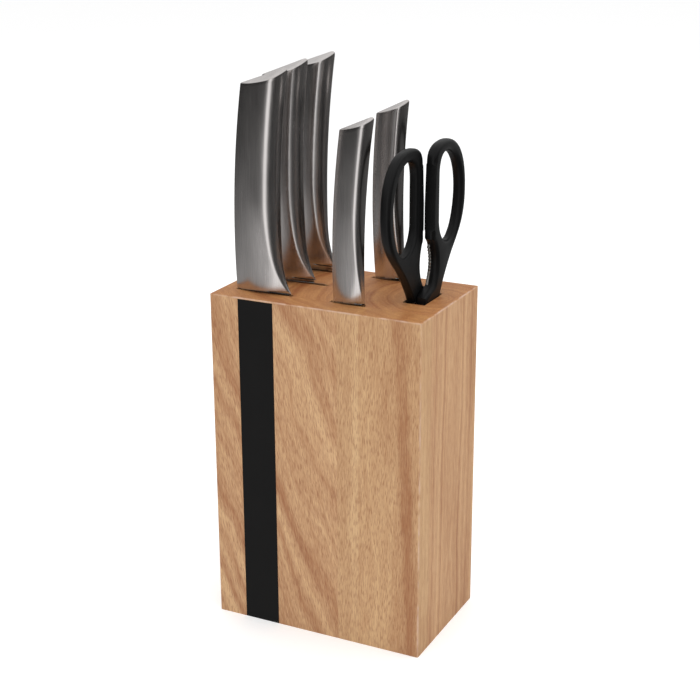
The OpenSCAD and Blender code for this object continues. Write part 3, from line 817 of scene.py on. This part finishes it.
def steelOutline(toothed):
    form = shearsForm
    n, depth = form["neck"], form["pivotDepth"]
    tip = -depth - form["bladeLength"]
    line = [(-1.4, tip), (1.6, tip + 1.5), (3.2, -depth - n)]
    line += arc((0, -depth), n, -72, 0)
    line += [(n, 2)]
    line += bezier((n, 2), (n + 1, 12), (15, 20), (13, 30))
    line += [(8.4, 47), (form["loopIn"] + 2.2, 47), (form["loopIn"] + 2.2, form["nutHigh"] + 1.5)]
    teeth = math.floor((form["nutHigh"] - form["nutLow"] - 6) / form["toothPitch"]) if toothed else -1
    for i in range(teeth, -1, -1):
        z = form["nutLow"] + 3 + i * form["toothPitch"]
        line += [(nutEdge(z) + form["toothHeight"], z + form["toothPitch"] / 2), (nutEdge(z), z)]
    if not toothed:
        line += [(form["nutGap"] + 1.6, 27), (form["nutGap"] + 1.6, 16)]
    line += [(1.6, form["nutLow"] - 1), (-3, form["nutLow"] - 3)]
    line += arc((0, -depth), n, 117, 180)
    line += bezier((-n, -depth), (-n, -45), (-8.5, tip * 0.75), (-1.4, tip), 24)[:-1]
    return line


def signedArea(line):
    return sum(a[0] * b[1] - b[0] * a[1] for a, b in zip(line, line[1:] + line[:1])) / 2


def insetLine(line, distances):
    # moves each point into the material, which lies left of the line
    made = []
    count = len(line)
    for k, p in enumerate(line):
        before, after = line[k - 1], line[(k + 1) % count]
        sides = []
        for a, b in ((before, p), (p, after)):
            length = math.hypot(b[0] - a[0], b[1] - a[1]) or 1
            sides.append((-(b[1] - a[1]) / length, (b[0] - a[0]) / length))
        nx, ny = sides[0][0] + sides[1][0], sides[0][1] + sides[1][1]
        size = math.hypot(nx, ny) or 1
        nx, ny = nx / size, ny / size
        mitre = min(1.5, 1 / max(0.3, nx * sides[0][0] + ny * sides[0][1]))
        made.append((p[0] + nx * distances[k] * mitre, p[1] + ny * distances[k] * mitre))
    return made


def roundedPlate(loops, thickness, lowRound, highRound, shareAt=None, steps=7):
    # flat plate with holes; its rims are rounded by lowRound at height 0 and by highRound at the top
    work = bmesh.new()
    profile = []
    for i in range(steps + 1):
        turn = math.pi / 2 * i / steps
        profile.append((lowRound, 1 - math.sin(turn), 1 - math.cos(turn), 0))
    for i in range(steps + 1):
        turn = math.pi / 2 * i / steps
        profile.append((highRound, 1 - math.cos(turn), 1 - math.sin(turn), 1))
    rims = {0: [], 1: []}
    for number, loop in enumerate(loops):
        wanted = number == 0
        if (signedArea(loop) > 0) != wanted:
            loop = loop[::-1]
        shares = [[shareAt(p, top) if shareAt else 1 for p in loop] for top in (0, 1)]
        layers = []
        for radius, inset, level, top in profile:
            share = shares[top]
            line = insetLine(loop, [radius * inset * s for s in share])
            layer = []
            for k, p in enumerate(line):
                fall = radius * level * share[k]
                layer.append(work.verts.new((p[0], p[1], thickness - fall if top else fall)))
            layers.append(layer)
        for low, high in zip(layers, layers[1:]):
            for k in range(len(low)):
                j = (k + 1) % len(low)
                work.faces.new((low[k], low[j], high[j], high[k]))
        for end, layer in ((0, layers[0]), (1, layers[-1])):
            for k in range(len(layer)):
                rims[end].append(work.edges.get((layer[k], layer[(k + 1) % len(layer)])))
    for end in (0, 1):
        bmesh.ops.triangle_fill(work, edges=rims[end], use_beauty=True)
    work.verts.index_update()
    points = [tuple(v.co) for v in work.verts]
    faces = [tuple(v.index for v in f.verts) for f in work.faces]
    work.free()
    return points, faces


def shearsPlace(x, mirrored, flipped):
    # plate drawn as (across, up, thickness) to the frame: across along Y, thickness along X
    side = -1 if mirrored else 1
    out = -1 if flipped else 1
    return Matrix(((0, 0, out, x), (side, 0, 0, pivot.y), (0, 1, 0, blockTop), (0, 0, 0, 1)))


def gripRounding(p, top):
    # the inner bar is cut flat where the two handles lie side by side, and the arms are flatter inside
    form = shearsForm
    if p[0] < form["loopIn"] + 0.2 and form["dockLow"] - 0.1 <= p[1] <= form["dockHigh"] + 0.1:
        return form["dockRounding"]
    least = form["armRounding"]
    return 1 if top else least + (1 - least) * clamp01((p[1] - form["armHigh"]) / form["armBlend"])


def circleLine(radius, centre, count=36):
    return [(centre[0] + radius * math.cos(2 * math.pi * i / count),
             centre[1] + radius * math.sin(2 * math.pi * i / count)) for i in range(count)]


pivotForm = {"shank": 3, "head": 5.5, "headThickness": 2.4, "gap": 0.05, "round": 0.7, "bevel": 0.3,
             "socket": 1.8, "socketDepth": 0.9, "pin": 0.001}


def addShearsHalf(end, body, mirrored, flipped):
    form = shearsForm
    inner = shearsMiddle + (-1 if flipped else 1) * form["gap"] / 2
    place = shearsPlace(inner, mirrored, flipped)
    outline = gripOutline(0 if mirrored else form["toothReach"])
    plate = roundedPlate([outline, fingerHole()], form["gripThickness"], form["innerRound"],
                         form["outerRound"], gripRounding)
    addPiece(f"shears.{end}Grip", *plate, gripPlastic, body, [f"shears_{end}_handle"],
             "black_plastic", form["gripSharp"], place)
    hole = circleLine(pivotForm["shank"] + pivotForm["gap"], (0, -form["pivotDepth"]))
    points, faces = roundedPlate([steelOutline(not mirrored), hole], form["steelThickness"],
                                 form["steelLowRound"], form["steelHighRound"],
                                 steps=form["steelRoundSteps"])
    # above the block the tang runs under a skin of plastic
    least = form["coverThickness"]
    points = [(x, z, max(depth, least) if z > form["coverLow"] else depth) for x, z, depth in points]
    addPiece(f"shears.{end}Blade", points, faces, toothSteel, body, [f"shears_{end}_blade"],
             "blade_steel", form["steelSharp"], place)


def turned(profile, count=48):
    # profile of (along, radius) turned round the X axis
    points = [(x, r * math.cos(2 * math.pi * i / count), r * math.sin(2 * math.pi * i / count))
              for x, r in profile for i in range(count)]
    faces = []
    for k in range(len(profile) - 1):
        for i in range(count):
            j = (i + 1) % count
            faces.append((k * count + i, k * count + j, (k + 1) * count + j, (k + 1) * count + i))
    return points, faces


def rimProfile(end, inward, steps=6):
    # rounded rim of a head that ends at this place along the axis
    made = []
    for i in range(steps + 1):
        turn = math.pi / 2 * i / steps
        made.append((end + inward * pivotForm["round"] * (1 - math.sin(turn)),
                     pivotForm["head"] - pivotForm["round"] * (1 - math.cos(turn))))
    return made


def addPivot():
    screw = pivotForm
    low, high = lowOf("pivot_screw").x, highOf("pivot_screw").x
    under = high - screw["headThickness"]
    shank, head, bevel, pin = screw["shank"], screw["head"], screw["bevel"], screw["pin"]
    socket, socketDepth = screw["socket"], screw["socketDepth"]
    place = Matrix.Translation((0, pivot.y, pivot.z))

    def addTurned(name, profile, nodeName):
        addPiece("shears." + name, *turned(profile), toothSteel, "shears", [nodeName], "blade_steel",
                 shearsForm["steelSharp"], place)

    profile = [(low, pin), (low, shank - bevel), (low + bevel, shank), (under, shank), (under, head)]
    profile += rimProfile(high, -1)
    profile += [(high, socket + 0.1), (high - socketDepth, socket), (high - socketDepth, pin)]
    addTurned("pivotScrew", profile, "pivot_screw")
    left, right = lowOf("pivot_nut").x, highOf("pivot_nut").x
    profile = [(right, shank), (right, head)] + rimProfile(left, 1)
    profile += [(left, shank + bevel), (left + bevel, shank), (right, shank)]
    addTurned("pivotNut", profile, "pivot_nut")


addShearsHalf("front", "shears", True, True)
addShearsHalf("back", "shears_back_half", False, False)
addPivot()
print("shears made")


# floor, light and camera

studio = {
    "floorSize": 30.0, "floorCells": 4, "floorColour": (0.92, 0.92, 0.92, 1), "floorGlow": 0.22,
    "world": 0.9, "keyPower": 2, "topPower": 15, "fillPower": 4.5,
}


def addFloor():
    size, count = studio["floorSize"], studio["floorCells"]
    row = count + 1
    grid = [(size * (i / count - 0.5), size * (j / count - 0.5), 0) for j in range(row) for i in range(row)]
    corners = [j * row + i for j in range(count) for i in range(count)]
    faces = [(a, a + 1, a + row + 1, a + row) for a in corners]
    mesh = bpy.data.meshes.new("floor")
    mesh.from_pydata(grid, [], faces)
    floor = bpy.data.objects.new("floor", mesh)
    bpy.context.scene.collection.objects.link(floor)
    material = newMaterial("paleFloor", **{
        "Roughness": 0.9, "Base Color": studio["floorColour"], "Emission Color": (1, 1, 1, 1),
        "Emission Strength": studio["floorGlow"]})[0]
    mesh.materials.append(material)
    floor.visible_glossy = False


def addSoftbox(name, place, target, size, power):
    # the steel mirrors only the world, not the softboxes
    light = bpy.data.lights.new(name, "AREA")
    light.shape = "RECTANGLE"
    light.size, light.size_y = size
    light.energy = power
    holder = bpy.data.objects.new(name, light)
    bpy.context.scene.collection.objects.link(holder)
    holder.location = place
    holder.rotation_mode = "QUATERNION"
    holder.rotation_quaternion = (Vector(target) - Vector(place)).to_track_quat("-Z", "Y")
    holder.visible_glossy = False


# brightness round the horizon as steel sees it, by share of the turn from behind, over the left, to behind
horizon = [(0.0, 0.5), (0.16, 0.12), (0.24, 0.0), (0.40, 0.0), (0.455, 0.35), (0.49, 1.3), (0.545, 1.3),
           (0.575, 0.25), (0.62, 0.05), (0.70, 0.08), (0.82, 0.10), (1.0, 0.5)]
# left of the block the light comes from low down, by share of the slope from steeply down to level
lowLight = [(0.0, 0.8), (0.42, 0.52), (0.56, 0.28), (0.67, 0.125), (0.80, 0.045), (1.0, 0.02)]
leftSide = [(0.10, 0.0), (0.24, 1.0), (0.40, 1.0), (0.47, 0.0)]


def levelRamp(tree, share, stops):
    ramp = addNode(tree, "ShaderNodeValToRGB", {"Fac": share})
    while len(ramp.color_ramp.elements) < len(stops):
        ramp.color_ramp.elements.new(0.5)
    for stop, (where, level) in zip(ramp.color_ramp.elements, stops):
        stop.position = where
        stop.color = (level, level, level, 1)
    return ramp.outputs["Color"]


def addWorld():
    world = bpy.data.worlds.new("studio")
    bpy.context.scene.world = world
    world.use_nodes = True
    tree = world.node_tree
    background = tree.nodes["Background"]
    way = addNode(tree, "ShaderNodeTexCoord").outputs["Generated"]
    split = axesOf(tree, way)
    turn = sums(tree, "ARCTAN2", split["X"], sums(tree, "MULTIPLY", split["Y"], -1.0))
    share = sums(tree, "MULTIPLY_ADD", turn, 1 / (2 * math.pi), 0.5)
    low = levelRamp(tree, spread(tree, split["Z"], -0.6, 0.0), lowLight)
    left = sums(tree, "MULTIPLY", levelRamp(tree, share, leftSide), low)
    level = sums(tree, "ADD", levelRamp(tree, share, horizon), left)
    overhead = spread(tree, split["Z"], 0.12, 0.5)
    around = blend(tree, overhead, level, (1.0, 1.0, 1.0, 1))
    seen = addNode(tree, "ShaderNodeLightPath").outputs["Is Camera Ray"]
    tree.links.new(blend(tree, seen, around, (1.0, 1.0, 1.0, 1)), background.inputs["Color"])
    background.inputs["Strength"].default_value = studio["world"]


view = {"azimuth": 26.56, "elevation": 18.82, "roll": -0.25, "distance": 0.98155, "side": 0.00305,
        "up": 0.070, "aim": 0.110, "lens": 76.0}


def addCamera():
    a, e, roll = (math.radians(view[k]) for k in ("azimuth", "elevation", "roll"))
    back = Vector((math.sin(a) * math.cos(e), -math.cos(a) * math.cos(e), math.sin(e)))
    right = Vector((math.cos(a), math.sin(a), 0))
    up = back.cross(right)
    place = back * view["distance"] + right * view["side"] + up * view["up"] + Vector((0, 0, view["aim"]))
    turnedRight = right * math.cos(roll) + up * math.sin(roll)
    turnedUp = up * math.cos(roll) - right * math.sin(roll)
    camera = bpy.data.cameras.new("camera")
    camera.lens = view["lens"]
    camera.sensor_width = 36
    camera.clip_start, camera.clip_end = 0.05, 50
    holder = bpy.data.objects.new("camera", camera)
    bpy.context.scene.collection.objects.link(holder)
    columns = (turnedRight, turnedUp, back)
    turn = Matrix([[column[k] for column in columns] for k in range(3)])
    holder.matrix_world = Matrix.Translation(place) @ turn.to_4x4()
    bpy.context.scene.camera = holder


addFloor()
addWorld()
addSoftbox("keyLight", (-0.5, -1.5, 1.3), (0, 0, 0.15), (1.2, 1.0), studio["keyPower"])
addSoftbox("topLight", (0.1, 0.1, 1.9), (0, 0, 0.1), (1.6, 1.6), studio["topPower"])
addSoftbox("fillLight", (1.6, -0.3, 0.9), (0, 0, 0.15), (1.0, 1.0), studio["fillPower"])
addCamera()
bpy.context.scene.view_settings.view_transform = "Standard"
print("studio ready")
